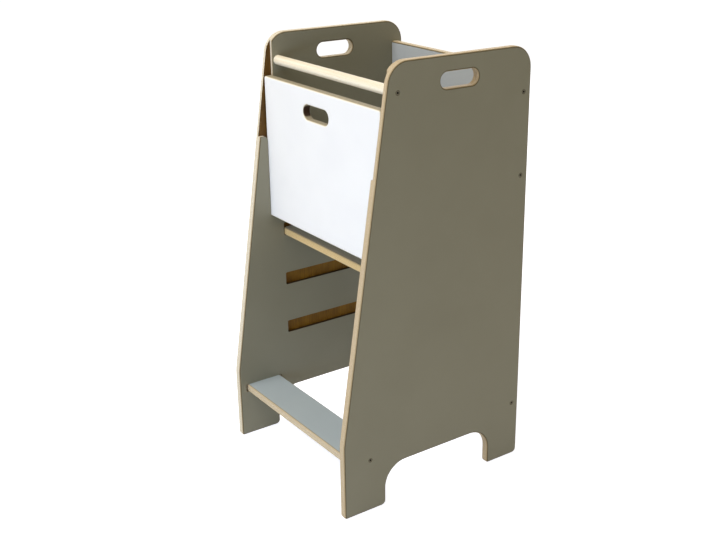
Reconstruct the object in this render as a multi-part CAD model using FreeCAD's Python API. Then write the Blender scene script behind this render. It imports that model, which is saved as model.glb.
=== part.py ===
import FreeCAD, Part
import os
from math import atan2, cos, degrees, radians, sin, tan

# A toddler's learning tower: two upright side panels of laminated plywood, held apart by a low
# climbing step, a rear rail, a rear guard panel and a round front rail. A white guard board drops
# into upright grooves at the front, and the standing platform slides into one of three pairs of
# level grooves from the rear.
#
# Millimetres, Z up, X to the right, Y from the climbing side to the rear. Every piece is drawn with
# Y counted from the front edge of the feet. The finished tower is then moved back by half its
# depth, so that its origin is the middle of the footprint, on the floor.

Vector = FreeCAD.Vector

# ---- sheets, and what the router does to them -----------------------------------------------
ply = 18.0                  # grey laminated plywood: sides, platform, step, rear panel and rail
board_ply = 18.0            # white laminated plywood of the guard board
edge_round = 4.0            # round-over along every bare plywood edge
pocket_depth = 8.0          # depth of all grooves and housings in the side panels
cutter_radius = 3.0         # inner corners of the routed pockets

# ---- the tower as a whole -------------------------------------------------------------------
tower_height = 900.0        # where the lines of the leaning front and of the top would meet
top_fall = 5.0              # the top edge of a side drops by this towards the rear
tower_depth = 454.0
inner_width = 400.0         # clear width between the two side panels

# ---- outline of a side panel ----------------------------------------------------------------
kink_height = 162.0         # the front edge is upright to here and leans back above
top_setback = 115.0         # how far back the leaning edge would be at the top
kink_blend = 100.0
top_corner = 45.0
front_foot_length = 100.0
rear_foot_length = 84.0
arch_height = 88.0
arch_corner = 50.0
toe_radius = 5.0            # front corner of each foot
heel_radius = 10.0          # rear corner of each foot

# ---- hand slot in a side panel --------------------------------------------------------------
hand_slot_length = 90.0
hand_slot_height = 31.0
hand_slot_from_front = 275.5
hand_slot_below_top = 47.0  # the slot's middle below the sloping top edge

# ---- guard board, its grooves and the open pocket above them ---------------------------------
board_height = 304.0
board_rest_height = 509.0   # closed foot of the groove
board_groove_back = 120.0   # rear wall of the groove, from the front
board_face_play = 1.0       # between board and groove, on each face
board_end_play = 2.0        # between board end and groove floor, at each end
closed_groove_height = 177.0    # above this the groove is open to the front
notch_tip_radius = 10.0
board_corner = 5.0
hand_hole_length = 90.0
hand_hole_height = 30.0
hand_hole_below_top = 48.0  # the hole's middle below the board's top edge
hand_hole_offset = -11.0    # the hole's middle from the middle of the board

# ---- standing platform and its three levels -------------------------------------------------
top_level = 457.5           # floor of the highest pair of grooves, where the platform lies
level_pitch = 117.0
level_count = 3
groove_height = 29.0
groove_front = 131.0        # closed front end of the grooves
platform_front_play = 2.0
platform_end_play = 1.0
platform_corner = 6.0

# ---- climbing step --------------------------------------------------------------------------
step_front = 20.0
step_tread = 85.0
step_top = 124.5
housing_overrun = 4.0       # the housing is longer than the step by this at each end

# ---- rear guard panel and rear rail ---------------------------------------------------------
rear_inset = 9.0            # rear faces stand in from the rear edge of the sides
guard_panel_below_top = 50.0    # below the top edge of the sides
guard_panel_gap = 116.5         # open space between the platform and the panel
guard_screw_edge = 45.0     # screws in from the panel's top and bottom edges
rail_height = 80.0
rail_bottom = 86.0

# ---- round front rail -----------------------------------------------------------------------
rail_diameter = 20.0
front_rail_below_top = 57.0     # the rail's middle below the top edge of the sides
front_rail_gap = 2.0        # behind the rear wall of the board's groove
front_rail_chamfer = 0.8

# ---- connector screws with a countersunk head and a hexagon socket ---------------------------
screw_length = 50.0
screw_head_radius = 5.0
screw_head_recess = 0.3     # below the laminate
screw_shank_radius = 3.0
screw_tip_length = 4.0
screw_tip_radius = 1.0
screw_play = 0.1            # between screw and drilled hole, all round
screw_end_gap = 1.0         # the hole is drilled this much deeper than the screw's tip
socket_across_flats = 4.0
socket_depth = 4.5

# ---- beech pins that keep the rear rail from turning -----------------------------------------
pin_radius = 4.0
pin_in_side = 12.0
pin_in_rail = 20.0
pin_spacing = 48.0
pin_chamfer = 1.0
pin_play = 0.1
pin_end_gap = 1.0

# ---- sizes that follow from the ones above ---------------------------------------------------
inner_face = inner_width / 2
outer_face = inner_face + ply
top_slope = atan2(top_fall, tower_depth - top_setback)
hand_slot_drop = (hand_slot_from_front - top_setback) * tan(top_slope)
groove_floor = inner_face + pocket_depth
board_front = board_groove_back - board_face_play - board_ply
board_back = board_groove_back - board_face_play
board_groove_front = board_front - board_face_play
board_half_length = groove_floor - board_end_play
board_top = board_rest_height + board_height
notch_height = board_rest_height + closed_groove_height
platform_front = groove_front + platform_front_play
platform_half_width = groove_floor - platform_end_play
step_bottom = step_top - ply
step_rear = step_front + step_tread
rear_panel_back = tower_depth - rear_inset
rear_panel_front = rear_panel_back - ply
guard_panel_top = tower_height - guard_panel_below_top
guard_panel_bottom = top_level + ply + guard_panel_gap
rail_top = rail_bottom + rail_height
front_rail_radius = rail_diameter / 2
front_rail_middle = board_groove_back + front_rail_gap + front_rail_radius
front_rail_height = tower_height - front_rail_below_top

SIDES = {"left": -1, "right": 1}

# Where each screw goes through a side panel: (from the front, above the floor).
rear_line = rear_panel_front + ply / 2
SCREW_PLACES = {
    "front_rail": (front_rail_middle, front_rail_height),
    "guard_panel_upper": (rear_line, guard_panel_top - guard_screw_edge),
    "guard_panel_lower": (rear_line, guard_panel_bottom + guard_screw_edge),
    "rear_rail": (rear_line, rail_bottom + rail_height / 2),
    "step": (step_front + step_tread / 2, step_bottom + ply / 2),
}
PIN_PLACES = {
    "upper": (rear_line, rail_bottom + (rail_height + pin_spacing) / 2),
    "lower": (rear_line, rail_bottom + (rail_height - pin_spacing) / 2),
}


# ---- drawing helpers ------------------------------------------------------------------------
def side_view(y, z):
    return Vector(0, y, z)


def front_view(x, z):
    return Vector(x, 0, z)


def top_view(x, y):
    return Vector(x, y, 0)


def outline(corners, view):
    """Closed wire through (first, second, radius) corners, each rounded by a tangent arc."""
    points = [view(first, second) for first, second, radius in corners]
    arcs = []
    for index, corner in enumerate(points):
        radius = corners[index][2]
        back = (points[index - 1] - corner).normalize()
        ahead = (points[(index + 1) % len(points)] - corner).normalize()
        half_angle = back.getAngle(ahead) / 2
        if radius == 0:
            arcs.append((corner, None, corner))
            continue
        reach = radius / tan(half_angle)
        middle = (back + ahead).normalize()
        deepest = corner + middle * (radius / sin(half_angle) - radius)
        arcs.append((corner + back * reach, deepest, corner + ahead * reach))
    edges = []
    for index, (start, deepest, end) in enumerate(arcs):
        following = arcs[(index + 1) % len(arcs)][0]
        if deepest is not None:
            edges.append(Part.Arc(start, deepest, end).toShape())
        if end.distanceToPoint(following) > 1e-6:
            edges.append(Part.LineSegment(end, following).toShape())
    return Part.Wire(edges)


def sheet(wire, start, travel):
    """Solid swept from a flat outline: moved by start, then extruded along travel."""
    face = Part.Face(wire)
    face.translate(start)
    return face.extrude(travel)


def rectangle(low, high, radius, view):
    """Rounded rectangle from its low corner (u, v) to its high corner (u, v)."""
    corners = [
        (low[0], low[1], radius),
        (high[0], low[1], radius),
        (high[0], high[1], radius),
        (low[0], high[1], radius),
    ]
    return outline(corners, view)


def slot(middle, length, height, view):
    """Slot with half-round ends about its middle (u, v)."""
    low = (middle[0] - length / 2, middle[1] - height / 2)
    high = (middle[0] + length / 2, middle[1] + height / 2)
    return rectangle(low, high, height / 2, view)


def span(edge, axis):
    box = edge.BoundBox
    return {
        "x": (box.XMin, box.XMax),
        "y": (box.YMin, box.YMax),
        "z": (box.ZMin, box.ZMax),
    }[axis]


def rounded(shape, axis, levels, skip=None):
    """Round over every edge that lies in one of the planes axis = level.

    skip names an axis: edges that stand still along it are left square.
    """
    chosen = []
    for edge in shape.Edges:
        low, high = span(edge, axis)
        in_plane = any(abs(low - level) < 1e-3 and abs(high - level) < 1e-3 for level in levels)
        if not in_plane:
            continue
        if skip is not None:
            start, end = span(edge, skip)
            if end - start < 1e-3:
                continue
        chosen.append(edge)
    return shape.makeFillet(edge_round, chosen)


# ---- screws and pins, and the holes drilled for them ------------------------------------------
def turned(profile, side, y, z):
    """Solid of revolution about an X axis; profile is (depth below the outer face, radius)."""
    points = [Vector(side * (outer_face - depth), radius, 0) for depth, radius in profile]
    face = Part.Face(Part.makePolygon(points + points[:1]))
    solid = face.revolve(Vector(0, 0, 0), Vector(1, 0, 0), 360)
    solid.translate(Vector(0, y, z))
    return solid


def screw_hole(side, place):
    """Countersunk hole through a side and into the piece that is screwed to it."""
    head = screw_head_radius + screw_play
    shank = screw_shank_radius + screw_play
    cone_end = screw_head_recess + head - shank
    hole_end = screw_head_recess + screw_length + screw_end_gap
    profile = [
        (-screw_head_recess, 0),
        (-screw_head_recess, head + 2 * screw_head_recess),
        (cone_end, shank),
        (hole_end, shank),
        (hole_end, 0),
    ]
    return turned(profile, side, *place)


def screw(side, place):
    """Plain-shanked stand-in for a connector screw, with its hexagon socket."""
    cone_end = screw_head_recess + screw_head_radius - screw_shank_radius
    screw_end = screw_head_recess + screw_length
    profile = [
        (screw_head_recess, 0),
        (screw_head_recess, screw_head_radius),
        (cone_end, screw_shank_radius),
        (screw_end - screw_tip_length, screw_shank_radius),
        (screw_end, screw_tip_radius),
        (screw_end, 0),
    ]
    body = turned(profile, side, *place)
    y, z = place
    flat = socket_across_flats / 2
    corner = flat / cos(radians(30))
    corners = [
        (y + corner, z, 0),
        (y + corner / 2, z + flat, 0),
        (y - corner / 2, z + flat, 0),
        (y - corner, z, 0),
        (y - corner / 2, z - flat, 0),
        (y + corner / 2, z - flat, 0),
    ]
    inward = Vector(-side * (screw_head_recess + socket_depth), 0, 0)
    socket = sheet(outline(corners, side_view), Vector(side * outer_face, 0, 0), inward)
    return body.cut(socket)


def pin_hole(side, place):
    radius = pin_radius + pin_play
    start = ply - pin_in_side - pin_end_gap
    end = ply + pin_in_rail + pin_end_gap
    return turned([(start, 0), (start, radius), (end, radius), (end, 0)], side, *place)


def pin(side, place):
    start = ply - pin_in_side
    end = ply + pin_in_rail
    slim = pin_radius - pin_chamfer
    profile = [
        (start, 0),
        (start, slim),
        (start + pin_chamfer, pin_radius),
        (end - pin_chamfer, pin_radius),
        (end, slim),
        (end, 0),
    ]
    return turned(profile, side, *place)


def drilled(shape, holes):
    for hole in holes:
        shape = shape.cut(hole)
    return shape


def both_sides(maker, place):
    return [maker(side, place) for side in SIDES.values()]


# ---- side panels ----------------------------------------------------------------------------
def side_blank(side):
    """The sawn and rounded panel before its grooves: outline, arch between the feet, hand slot."""
    rear_foot_front = tower_depth - rear_foot_length
    corners = [
        (0, 0, toe_radius),
        (front_foot_length, 0, heel_radius),
        (front_foot_length, arch_height, arch_corner),
        (rear_foot_front, arch_height, arch_corner),
        (rear_foot_front, 0, toe_radius),
        (tower_depth, 0, heel_radius),
        (tower_depth, tower_height - top_fall, top_corner),
        (top_setback, tower_height, top_corner),
        (0, kink_height, kink_blend),
    ]
    start = Vector(side * inner_face, 0, 0)
    travel = Vector(side * ply, 0, 0)
    blank = sheet(outline(corners, side_view), start, travel)
    slot_middle = (hand_slot_from_front, tower_height - hand_slot_drop - hand_slot_below_top)
    hand_slot = slot(slot_middle, hand_slot_length, hand_slot_height, side_view)
    hand_slot.rotate(side_view(*slot_middle), Vector(1, 0, 0), -degrees(top_slope))
    blank = blank.cut(sheet(hand_slot, start, travel))
    return rounded(blank, "x", [side * inner_face, side * outer_face])


def pocket(side, corners):
    """Routed pocket of the common depth in the inner face."""
    start = Vector(side * inner_face, 0, 0)
    return sheet(outline(corners, side_view), start, Vector(side * pocket_depth, 0, 0))


def board_pocket(side):
    """Upright groove for the guard board, open to the front edge and the top above the notch."""
    above = tower_height + edge_round
    corners = [
        (board_groove_front, board_rest_height, cutter_radius),
        (board_groove_back, board_rest_height, cutter_radius),
        (board_groove_back, above, 0),
        (-edge_round, above, 0),
        (-edge_round, notch_height, 0),
        (board_groove_front, notch_height, notch_tip_radius),
    ]
    return pocket(side, corners)


def platform_pocket(side, level):
    """Level groove for the platform, closed at the front and open at the rear edge."""
    bottom = top_level - level * level_pitch
    top = bottom + groove_height
    behind = tower_depth + edge_round
    corners = [
        (groove_front, bottom, cutter_radius),
        (behind, bottom, 0),
        (behind, top, 0),
        (groove_front, top, cutter_radius),
    ]
    return pocket(side, corners)


def step_pocket(side):
    """Housing for the end of the climbing step."""
    front = step_front - housing_overrun
    rear = step_rear + housing_overrun
    corners = [
        (front, step_bottom, cutter_radius),
        (rear, step_bottom, cutter_radius),
        (rear, step_top, cutter_radius),
        (front, step_top, cutter_radius),
    ]
    return pocket(side, corners)


def side_panel(side):
    panel = side_blank(side)
    panel = panel.cut(board_pocket(side))
    panel = panel.cut(step_pocket(side))
    for level in range(level_count):
        panel = panel.cut(platform_pocket(side, level))
    holes = [screw_hole(side, place) for place in SCREW_PLACES.values()]
    holes += [pin_hole(side, place) for place in PIN_PLACES.values()]
    return drilled(panel, holes)


# ---- pieces between the side panels -----------------------------------------------------------
def guard_board():
    """White board with a hand hole; it stands in the upright grooves and lifts out."""
    low = (-board_half_length, board_rest_height)
    high = (board_half_length, board_top)
    start = Vector(0, board_front, 0)
    travel = Vector(0, board_ply, 0)
    board = sheet(rectangle(low, high, board_corner, front_view), start, travel)
    hole_middle = (hand_hole_offset, board_top - hand_hole_below_top)
    hole = slot(hole_middle, hand_hole_length, hand_hole_height, front_view)
    board = board.cut(sheet(hole, start, travel))
    return rounded(board, "y", [board_front, board_back])


def standing_platform():
    low = (-platform_half_width, platform_front)
    high = (platform_half_width, rear_panel_back)
    wire = rectangle(low, high, platform_corner, top_view)
    board = sheet(wire, Vector(0, 0, top_level), Vector(0, 0, ply))
    return rounded(board, "z", [top_level, top_level + ply])


def climbing_step():
    low = (-groove_floor, step_front)
    high = (groove_floor, step_rear)
    wire = rectangle(low, high, 0, top_view)
    tread = sheet(wire, Vector(0, 0, step_bottom), Vector(0, 0, ply))
    tread = rounded(tread, "z", [step_bottom, step_top], skip="x")
    return drilled(tread, both_sides(screw_hole, SCREW_PLACES["step"]))


def rear_board(bottom, top, places):
    """Upright board across the rear with rounded long edges, screwed through both sides."""
    wire = rectangle((-inner_face, bottom), (inner_face, top), 0, front_view)
    board = sheet(wire, Vector(0, rear_panel_front, 0), Vector(0, ply, 0))
    board = rounded(board, "y", [rear_panel_front, rear_panel_back], skip="x")
    for place in places:
        board = drilled(board, both_sides(screw_hole, SCREW_PLACES[place]))
    return board


def rear_guard_panel():
    return rear_board(guard_panel_bottom, guard_panel_top, ["guard_panel_upper", "guard_panel_lower"])


def lower_rear_rail():
    rail = rear_board(rail_bottom, rail_top, ["rear_rail"])
    for place in PIN_PLACES.values():
        rail = drilled(rail, both_sides(pin_hole, place))
    return rail


def front_rail():
    """Round rail butted between the sides, with a screw into each end grain."""
    start = Vector(-inner_face, front_rail_middle, front_rail_height)
    rail = Part.makeCylinder(front_rail_radius, inner_width, start, Vector(1, 0, 0))
    ends = [edge for edge in rail.Edges if span(edge, "x")[1] - span(edge, "x")[0] < 1e-3]
    rail = rail.makeChamfer(front_rail_chamfer, ends)
    return drilled(rail, both_sides(screw_hole, SCREW_PLACES["front_rail"]))


# ---- the finished tower -----------------------------------------------------------------------
def pieces():
    tower = {
        "guard_board": guard_board(),
        "standing_platform": standing_platform(),
        "climbing_step": climbing_step(),
        "rear_guard_panel": rear_guard_panel(),
        "lower_rear_rail": lower_rear_rail(),
        "front_rail": front_rail(),
    }
    for name, side in SIDES.items():
        tower[name + "_side_panel"] = side_panel(side)
        for place_name, place in SCREW_PLACES.items():
            tower[place_name + "_screw_" + name] = screw(side, place)
        for place_name, place in PIN_PLACES.items():
            tower["rear_rail_pin_" + place_name + "_" + name] = pin(side, place)
    return tower


os.makedirs("parts", exist_ok=True)
for node, shape in pieces().items():
    shape.translate(Vector(0, -tower_depth / 2, 0))
    shape.exportStep("parts/" + node + ".step")
    box = shape.BoundBox
    print(node, "valid" if shape.isValid() else "NOT VALID", len(shape.Solids), "solid",
          round(box.XLength, 1), round(box.YLength, 1), round(box.ZLength, 1))
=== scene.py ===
import bpy
from math import cos, radians, sin
from mathutils import Matrix, Vector


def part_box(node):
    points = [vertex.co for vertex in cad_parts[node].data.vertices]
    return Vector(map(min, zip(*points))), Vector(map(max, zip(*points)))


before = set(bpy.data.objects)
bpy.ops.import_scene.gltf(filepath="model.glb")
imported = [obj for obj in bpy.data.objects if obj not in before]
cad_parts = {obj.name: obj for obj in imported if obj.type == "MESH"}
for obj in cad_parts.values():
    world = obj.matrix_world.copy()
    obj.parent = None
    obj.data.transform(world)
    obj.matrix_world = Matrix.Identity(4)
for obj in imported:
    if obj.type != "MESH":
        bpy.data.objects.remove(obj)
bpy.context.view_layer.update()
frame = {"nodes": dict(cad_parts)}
nodes = frame["nodes"]

# ---- Side panels ------------------------------------------------------------------------------
# Two birch plywood sheets with a matt grey pressed laminate on both faces. All edges are rounded
# over after laminating, so the laminate's brown core and the veneers show round the outline. The
# grooves are routed 8 mm deep from inside, and their floors are one dark, oiled veneer; painted
# shade darkens the floors of the upright board grooves and the walls of the level grooves.

mm = 0.001
x_axis, y_axis, z_axis = 0, 1, 2


class Reading:
    """A socket of a node tree that takes part in sums like a number."""

    def __init__(self, nodes, socket):
        self.nodes = nodes
        self.socket = socket

    def math(self, operation, *others, swap=False):
        values = [self, *others]
        if swap:
            values.reverse()
        return self.nodes.add("ShaderNodeMath", {"operation": operation}, dict(enumerate(values)))

    def __add__(self, other):
        return self.math("ADD", other)

    def __sub__(self, other):
        return self.math("SUBTRACT", other)

    def __rsub__(self, other):
        return self.math("SUBTRACT", other, swap=True)

    def __mul__(self, other):
        return self.math("MULTIPLY", other)

    def __truediv__(self, other):
        return self.math("DIVIDE", other)

    def __mod__(self, other):
        return self.math("FLOORED_MODULO", other)

    def __lt__(self, other):
        return self.math("LESS_THAN", other)

    def __gt__(self, other):
        return self.math("GREATER_THAN", other)

    def __abs__(self):
        return self.math("ABSOLUTE")

    __radd__ = __add__
    __rmul__ = __mul__


class Nodes:
    """A node tree of a material or of the world."""

    def __init__(self, tree):
        self.tree = tree

    def add(self, kind, settings=(), sockets=(), output=0):
        """A new node: first its settings, then a value or a link on each socket named."""
        node = self.tree.nodes.new(kind)
        for name, value in dict(settings).items():
            if name == "stops":
                ramp = node.color_ramp.elements
                while len(ramp) < len(value):
                    ramp.new(0.5)
                for element, (position, colour) in zip(ramp, value):
                    element.position = position
                    element.color = colour
            else:
                setattr(node, name, value)
        for name, value in dict(sockets).items():
            self.put(value, node.inputs[name])
        return Reading(self, node.outputs[output])

    def put(self, value, socket):
        if isinstance(value, Reading):
            self.tree.links.new(value.socket, socket)
        else:
            socket.default_value = value

    def blend(self, factor, first, second):
        """Colour mixed from first, at 0, to second, at 1."""
        return self.add("ShaderNodeMix", {"data_type": "RGBA"}, {0: factor, 6: first, 7: second}, 2)

    def step(self, value, low, high):
        """0 where value is under low, 1 over high, and a smooth rise between them."""
        sockets = {"Value": value, "From Min": low, "From Max": high}
        return self.add("ShaderNodeMapRange", {"interpolation_type": "SMOOTHSTEP"}, sockets)

    def place(self, *scale):
        """The point on the piece in metres, times a scale along each axis."""
        point = self.add("ShaderNodeTexCoord", output=3)
        return self.add("ShaderNodeVectorMath", {"operation": "MULTIPLY"}, {0: point, 1: scale})

    def axes(self, vector):
        split = self.add("ShaderNodeSeparateXYZ", sockets={0: vector})
        return [Reading(self, socket) for socket in split.socket.node.outputs]

    def noise(self, *scale, detail=2.0):
        """Fractal noise about 0.5, with its own grain size along each axis, in cycles a metre."""
        point = self.place(*scale)
        sockets = {"Vector": point, "Scale": 1.0, "Detail": detail, "Roughness": 0.5}
        return self.add("ShaderNodeTexNoise", sockets=sockets)


def srgb(red, green, blue):
    """Linear colour with alpha from 8-bit display values."""
    shares = [value / 255 for value in (red, green, blue)]
    linear = [((c + 0.055) / 1.055) ** 2.4 if c > 0.04045 else c / 12.92 for c in shares]
    return (*linear, 1.0)


def finish(name):
    """A new material, its node tree and its shader node."""
    material = bpy.data.materials.new(name)
    material.use_nodes = True
    tree = material.node_tree
    return material, Nodes(tree), tree.nodes["Principled BSDF"]


def surface(nodes, shader, colour, roughness, height, depth):
    """Wires colour, roughness, and a height from 0 to 1 that lifts the surface by up to depth."""
    nodes.put(colour, shader.inputs["Base Color"])
    nodes.put(roughness, shader.inputs["Roughness"])
    bump = nodes.add("ShaderNodeBump", sockets={"Height": height, "Distance": depth, "Strength": 1.0})
    nodes.put(bump, shader.inputs["Normal"])


def wear(material, *pieces):
    """Puts the finish on CAD pieces."""
    for piece in pieces:
        for slot in piece.material_slots:
            slot.link = "OBJECT"
            slot.material = material


skin_depth = 0.12 * mm      # the printed grey or white sheet on top
laminate_depth = 1.1 * mm   # down to here the laminate's core shows
outer_veneer_depth = 2.3 * mm
veneer_count = 13
veneer_waver = 0.35 * mm    # how far the veneers wander
round_over = 4.0 * mm
laminate_gloss = 0.3        # share of the usual reflection that the matt pressed sheet gives
laminate_roughness = 0.42
wood_roughness = 0.58
surface_relief = 0.12 * mm
fine_grain = 900            # grain across the fibres and along them, in cycles a metre
long_grain = 22
birch = (srgb(216, 200, 170), srgb(178, 156, 122))
glue_line = srgb(124, 92, 60)
brown_core = (srgb(97, 86, 62), srgb(158, 136, 98))  # the laminate's core, the veneer under it
pale_core = (srgb(148, 138, 118), srgb(188, 164, 128))
routed_light = srgb(143, 102, 22)
routed_dark = srgb(104, 68, 6)
# Painted shade: the dark brown put on the upright board grooves' floors and on recess walls.
recess_painted_shade = srgb(52, 30, 8)
painted_shade_heights = (520 * mm, 560 * mm)     # the floors turn darker between these heights
painted_shade_share = 0.6


def plywood(name, across, along, low, high, face, mottle,
            veneers=birch, core=brown_core, painted_shade_walls=None):
    """Laminated plywood between the planes low and high on the axis across.

    The grain of the outer veneers runs on the axis along. face and mottle are the laminate's
    colour and that of its faint clouds, veneers the light and the dark tone of the bare edges,
    and core the laminate's core and the veneer under it. Walls that face along the first value of
    the last argument, and lie on that axis between its other two, get a painted shade of dark brown.
    """
    material, tree, shader = finish(name)
    shader.inputs["Specular IOR Level"].default_value = laminate_gloss
    grain_scale = [fine_grain, fine_grain, fine_grain]
    grain_scale[along] = long_grain
    cross_axis = 3 - across - along
    cross_scale = [fine_grain, fine_grain, fine_grain]
    cross_scale[cross_axis] = long_grain

    point = tree.axes(tree.place(1, 1, 1))
    normal = tree.axes(tree.add("ShaderNodeTexCoord", output=1))
    waver = (tree.noise(18, 18, 18, detail=1.0) - 0.5) * veneer_waver
    thickness = abs(point[across])
    depth = (thickness - low).math("MINIMUM", high - thickness)
    on_face = 1 - tree.step(depth, 0.01 * mm, 0.03 * mm)

    # Veneers: light where the grain runs along the cut, darker with pores where it is end grain.
    veneer = (high - low - 2 * laminate_depth) / veneer_count
    count = (thickness - low - laminate_depth + waver) / veneer
    is_cross = (count % 2) > 1
    upright = normal[along] * normal[along]
    end_grain = abs(is_cross - tree.step(upright, 0.3, 0.7))
    streak = tree.noise(*grain_scale, detail=3.0)
    cross_streak = tree.noise(*cross_scale, detail=3.0)
    pore = tree.noise(2600, 2600, 2600, detail=1.0)
    tone = end_grain * 0.75 + (streak - 0.5) * 1.1 + (cross_streak - 0.5) * 0.7 + (pore - 0.5) * 0.5
    wood = tree.blend(tree.step(tone, -0.15, 1.0), *veneers)
    seam = abs((count % 1) - 0.5)
    wood = tree.blend(tree.step(seam, 0.43, 0.49) * 0.7, wood, glue_line)
    under_laminate = 1 - tree.step(depth, 0.9 * outer_veneer_depth, 1.2 * outer_veneer_depth)
    wood = tree.blend(under_laminate * 0.85, wood, core[1])

    # Floors of the routed grooves lie flat inside the sheet. Those of the upright board grooves,
    # high on the panels, are painted darker still: painted shade.
    flat = tree.step(abs(normal[across]), 0.6, 0.8)
    is_floor = flat * tree.step(depth, 1.2 * round_over, 1.4 * round_over)
    routed_tone = (streak - 0.5) * 1.6 + (tree.noise(30, 30, 30) - 0.5) * 1.2 + 0.5
    routed = tree.blend(tree.step(routed_tone, 0.0, 1.0), routed_light, routed_dark)
    # Painted shade: above these heights the groove floors turn dark brown.
    routed = tree.blend(tree.step(point[z_axis], *painted_shade_heights) * painted_shade_share, routed, recess_painted_shade)
    wood = tree.blend(is_floor, wood, routed)
    # Painted shade: walls in the given range are painted the same dark brown as shade in a recess.
    if painted_shade_walls:
        axis, first, last = painted_shade_walls
        is_wall = tree.step(abs(normal[axis]), 0.6, 0.8)
        wood = tree.blend(is_wall * (point[axis] > first) * (point[axis] < last), wood, recess_painted_shade)

    # The laminate: a coloured skin over its core, with faint clouds in the colour.
    cloud = tree.step(tree.noise(7, 7, 7, detail=3.0), 0.3, 0.7)
    skin = tree.blend(cloud, face, mottle)
    edge = tree.blend(tree.step(depth, 0.8 * skin_depth, 1.2 * skin_depth), skin, core[0])
    edge = tree.blend(tree.step(depth, 0.9 * laminate_depth, 1.1 * laminate_depth), edge, wood)
    colour = tree.blend(on_face, edge, skin)

    pearl = tree.noise(1400, 1400, 1400, detail=1.0)
    rough = on_face * laminate_roughness + (1 - on_face) * wood_roughness
    rough = rough + (pearl - 0.5) * 0.08 + (cloud - 0.5) * 0.03
    fibre = (streak + cross_streak) * 0.5 + pore * 0.3
    height = on_face * pearl * 0.12 + (1 - on_face) * fibre
    surface(tree, shader, colour, rough, height, surface_relief)
    return material


panel_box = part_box("right_side_panel")
grey = srgb(141, 137, 119)
grey_cloud = srgb(138, 134, 116)
# The walls of the level grooves, between these heights, get painted shade.
level_grooves = (z_axis, 200 * mm, 500 * mm)
# The photograph shows the left panel's front edge paler than the right one's, so the left panel
# gets a paler copy of the same birch veneers: painted light on that edge. plywood() measures its
# planes from the middle of the tower outwards, so the box of the right panel does for both.
pale_birch_painted_light = (srgb(234, 224, 204), srgb(200, 184, 156))
toned_birch = (srgb(205, 185, 152), srgb(170, 147, 114))
for side, veneers in (("left", pale_birch_painted_light), ("right", toned_birch)):
    side_ply = plywood(f"grey_{side}_side_ply", x_axis, z_axis, panel_box[0].x, panel_box[1].x,
                       grey, grey_cloud, veneers, painted_shade_walls=level_grooves)
    wear(side_ply, nodes[f"{side}_side_panel"])

# ---- Climbing step ----------------------------------------------------------------------------
# A narrow tread of the same sheet, its ends let into housings in both sides and held there by one
# screw each. Its long edges are rounded over, so the bare veneers show along the front.

tread_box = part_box("climbing_step")
# The tread's grey is painted lighter and bluer than the sides' grey of the same laminate: painted
# light from above.
tread_grey_painted_light = srgb(174, 183, 186)
tread_cloud_painted_light = srgb(170, 179, 183)
tread_ply = plywood("grey_tread_ply", z_axis, x_axis, tread_box[0].z, tread_box[1].z,
                    tread_grey_painted_light, tread_cloud_painted_light, core=pale_core)
wear(tread_ply, nodes["climbing_step"])

# ---- Rear guard panel and rear rail -----------------------------------------------------------
# Two upright boards butted between the sides: the high one keeps the child in, the low one braces
# the feet. Both stand in the same plane, 9 mm in from the rear edges.

guard_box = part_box("rear_guard_panel")
# The rear boards' grey is painted lighter and bluer than the sides' grey of the same laminate:
# painted light from the front.
guard_grey_painted_light = srgb(186, 190, 193)
guard_cloud_painted_light = srgb(182, 186, 190)
rear_ply = plywood("grey_rear_ply", y_axis, x_axis, guard_box[0].y, guard_box[1].y,
                   guard_grey_painted_light, guard_cloud_painted_light)
wear(rear_ply, nodes["rear_guard_panel"], nodes["lower_rear_rail"])

# ---- Front rail -------------------------------------------------------------------------------
# A round bar of pale hardwood, turned, sanded and matt varnished. Its grain runs along the bar,
# with the short fine flecks of beech, and the ends butt against the sides.

rail_light = srgb(242, 232, 210)
rail_dark = srgb(231, 215, 187)
rail_fleck = srgb(196, 160, 116)

rail_wood, tree, shader = finish("rail_hardwood")
ring = tree.noise(3, 260, 260, detail=2.0)
fibre = tree.noise(14, 1500, 1500, detail=2.0)
fleck = tree.step(tree.noise(160, 1600, 1600, detail=0.0), 0.66, 0.74)
tone = tree.step(ring * 0.7 + fibre * 0.3, 0.35, 0.68)
wood = tree.blend(tone, rail_light, rail_dark)
wood = tree.blend(fleck * 0.35, wood, rail_fleck)
surface(tree, shader, wood, 0.42 + (fibre - 0.5) * 0.2, fibre + fleck * -0.4, 0.05 * mm)
wear(rail_wood, nodes["front_rail"])

# ---- Standing platform ------------------------------------------------------------------------
# A loose shelf of the grey sheet that slides into one of three pairs of level grooves. All four
# edges are rounded over, and only the front one shows from the climbing side.

shelf_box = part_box("standing_platform")
# The shelf's grey is painted lighter than the sides' grey of the same laminate: painted light on its
# front strip under the board.
shelf_grey_painted_light = srgb(186, 187, 184)
shelf_cloud_painted_light = srgb(182, 183, 181)
golden_birch = (srgb(236, 208, 152), srgb(206, 173, 118))
shelf_ply = plywood("grey_shelf_ply", z_axis, x_axis, shelf_box[0].z, shelf_box[1].z,
                    shelf_grey_painted_light, shelf_cloud_painted_light, golden_birch, pale_core)
wear(shelf_ply, nodes["standing_platform"])

# ---- Guard board ------------------------------------------------------------------------------
# A white laminated board that drops into the upright grooves, with a slot to lift it by. Its edges
# and the slot are rounded over like all the others.

board_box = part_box("guard_board")
white = srgb(236, 234, 232)
white_cloud = srgb(232, 230, 229)
board_birch = (srgb(170, 159, 134), srgb(136, 125, 102))
white_core = (srgb(238, 233, 222), srgb(206, 190, 158))
# The end walls of the lifting slot get painted shade in dark brown.
hand_hole_ends = (x_axis, -60 * mm, 60 * mm)
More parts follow.
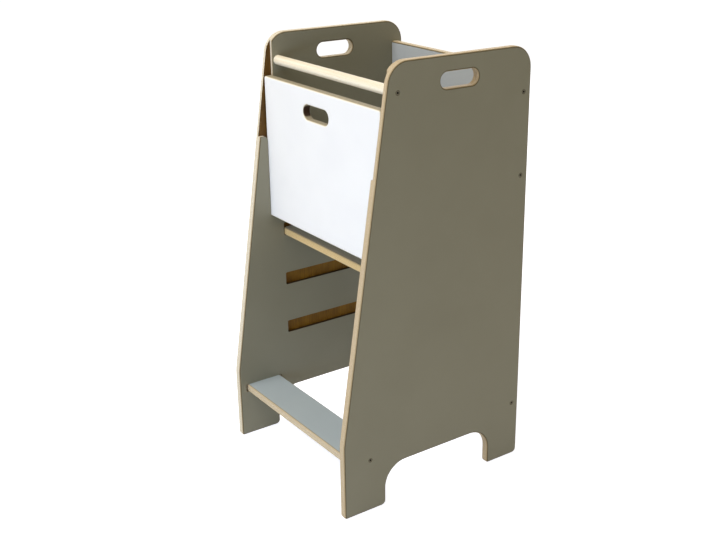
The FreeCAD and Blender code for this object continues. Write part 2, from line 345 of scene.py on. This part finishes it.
# The board's planes lie in front of the origin, and plywood() measures from it outwards.
board_ply = plywood("white_board_ply", y_axis, x_axis, -board_box[1].y, -board_box[0].y,
                    white, white_cloud, board_birch, white_core, hand_hole_ends)
wear(board_ply, nodes["guard_board"])

# ---- Connector screws and pins ----------------------------------------------------------------
# Zinc-plated countersunk screws with a hexagon socket, gone dull, five through each side, just
# below the laminate. The pins in the ends of the rear rail are ribbed beech and never show.

zinc = srgb(104, 99, 84)
zinc_dull = srgb(76, 71, 56)
socket_painted_shade = srgb(24, 20, 13)
head_recess = 0.3 * mm

screw_steel, tree, shader = finish("zinc_plate")
point = tree.axes(tree.place(1, 1, 1))
below_face = panel_box[1].x - abs(point[x_axis])
turning = tree.noise(900, 3200, 3200, detail=2.0)
plate = tree.blend(tree.step(turning, 0.35, 0.7), zinc, zinc_dull)
# The socket, sunk below the head, is painted near black: painted shade in the recess.
plate = tree.blend(tree.step(below_face, 2.0 * head_recess, 6.0 * head_recess), plate, socket_painted_shade)
shader.inputs["Metallic"].default_value = 1.0
surface(tree, shader, plate, 0.38 + turning * 0.2, turning, 0.02 * mm)
wear(screw_steel, *[piece for name, piece in nodes.items() if "_screw_" in name])

pin_wood, tree, shader = finish("pin_beech")
rib = tree.noise(60, 1200, 1200, detail=1.0)
wood = tree.blend(tree.step(rib, 0.35, 0.65), rail_dark, rail_fleck)
surface(tree, shader, wood, 0.6 + (rib - 0.5) * 0.1, rib, 0.1 * mm)
wear(pin_wood, *[piece for name, piece in nodes.items() if "_pin_" in name])

# ---- Floor and light --------------------------------------------------------------------------
# A plain pale floor under soft studio light: a broad lamp high in front, a cool one low down, a
# weak one behind on the left, and a warm surround. What the camera or a glossy surface sees of
# the surround is white, and the floor still takes the tower's shadow.

white_light = (1.0, 1.0, 1.0, 1.0)


def shown(tree):
    """1 for what is seen straight, in a gloss or through glass, and 0 for light on a surface."""
    camera_ray = tree.add("ShaderNodeLightPath", output=0)
    glossy_ray = tree.add("ShaderNodeLightPath", output=3)
    transmission_ray = tree.add("ShaderNodeLightPath", output=6)
    return (camera_ray + glossy_ray + transmission_ray).math("MINIMUM", 1.0)


floor_reach = 30.0
floor_glow = 0.78
corners = [(-floor_reach, -floor_reach, 0), (floor_reach, -floor_reach, 0),
           (floor_reach, floor_reach, 0), (-floor_reach, floor_reach, 0)]
floor_mesh = bpy.data.meshes.new("floor")
floor_mesh.from_pydata(corners, [], [(0, 1, 2, 3)])
floor = bpy.data.objects.new("floor", floor_mesh)
bpy.context.scene.collection.objects.link(floor)
floor_paint, tree, shader = finish("floor_paint")
shader.inputs["Roughness"].default_value = 1.0
shader.inputs["Specular IOR Level"].default_value = 0.0
shader.inputs["Base Color"].default_value = (0.7, 0.7, 0.7, 1.0)
shader.inputs["Emission Color"].default_value = (1.0, 1.02, 1.1, 1.0)  # evens out the warm surround
tree.put(shown(tree) * floor_glow, shader.inputs["Emission Strength"])
floor_mesh.materials.append(floor_paint)

ambient_level = 0.38
ambient_tint = (1.0, 0.885, 0.6, 1.0)
world = bpy.data.worlds.new("surround")
world.use_nodes = True
bpy.context.scene.world = world
tree = Nodes(world.node_tree)
background = world.node_tree.nodes["Background"]
share = shown(tree)
tree.put(tree.blend(share, ambient_tint, white_light), background.inputs["Color"])
tree.put(share * (1 - ambient_level) + ambient_level, background.inputs["Strength"])


def lamp(name, place, target, size, power, colour):
    """A square soft lamp at place, aimed at target."""
    light = bpy.data.lights.new(name, "AREA")
    light.size = size
    light.energy = power
    light.color = colour
    made = bpy.data.objects.new(name, light)
    made.location = place
    made.rotation_euler = (Vector(target) - Vector(place)).to_track_quat("-Z", "Y").to_euler()
    bpy.context.scene.collection.objects.link(made)


middle = (0.0, 0.0, 0.45)
lamp("top_lamp", (0.1, -1.8, 3.4), middle, 2.2, 92.0, (0.98, 1.0, 1.02))
lamp("low_lamp", (0.6, -1.9, 0.25), middle, 0.9, 14.0, (0.74, 0.98, 1.42))
lamp("rear_lamp", (-2.4, 2.8, 2.2), middle, 2.2, 30.0, (1.0, 1.0, 1.0))

bpy.context.scene.view_settings.view_transform = "Standard"

# ---- Camera -----------------------------------------------------------------------------------
# The photograph's view: from the right of the climbing side and a little above the tower.

azimuth = radians(55.64)
elevation = radians(21.17)
roll = radians(-0.93)
distance = 2.31
aim = Vector((0.0, -0.0382, 0.424))
focal_length_pixels = 1100.8
picture_width_pixels = 716

back = Vector((sin(azimuth) * cos(elevation), -cos(azimuth) * cos(elevation), sin(elevation)))
level_right = Vector((0, 0, 1)).cross(back).normalized()
level_up = back.cross(level_right)
right = cos(roll) * level_right + sin(roll) * level_up
up = -sin(roll) * level_right + cos(roll) * level_up
camera_data = bpy.data.cameras.new("photo_camera")
camera_data.sensor_width = 36.0
camera_data.lens = camera_data.sensor_width * focal_length_pixels / picture_width_pixels
camera = bpy.data.objects.new("photo_camera", camera_data)
turned = Matrix((right, up, back)).transposed().to_4x4()
camera.matrix_world = Matrix.Translation(aim + back * distance) @ turned
bpy.context.scene.collection.objects.link(camera)
bpy.context.scene.camera = camera
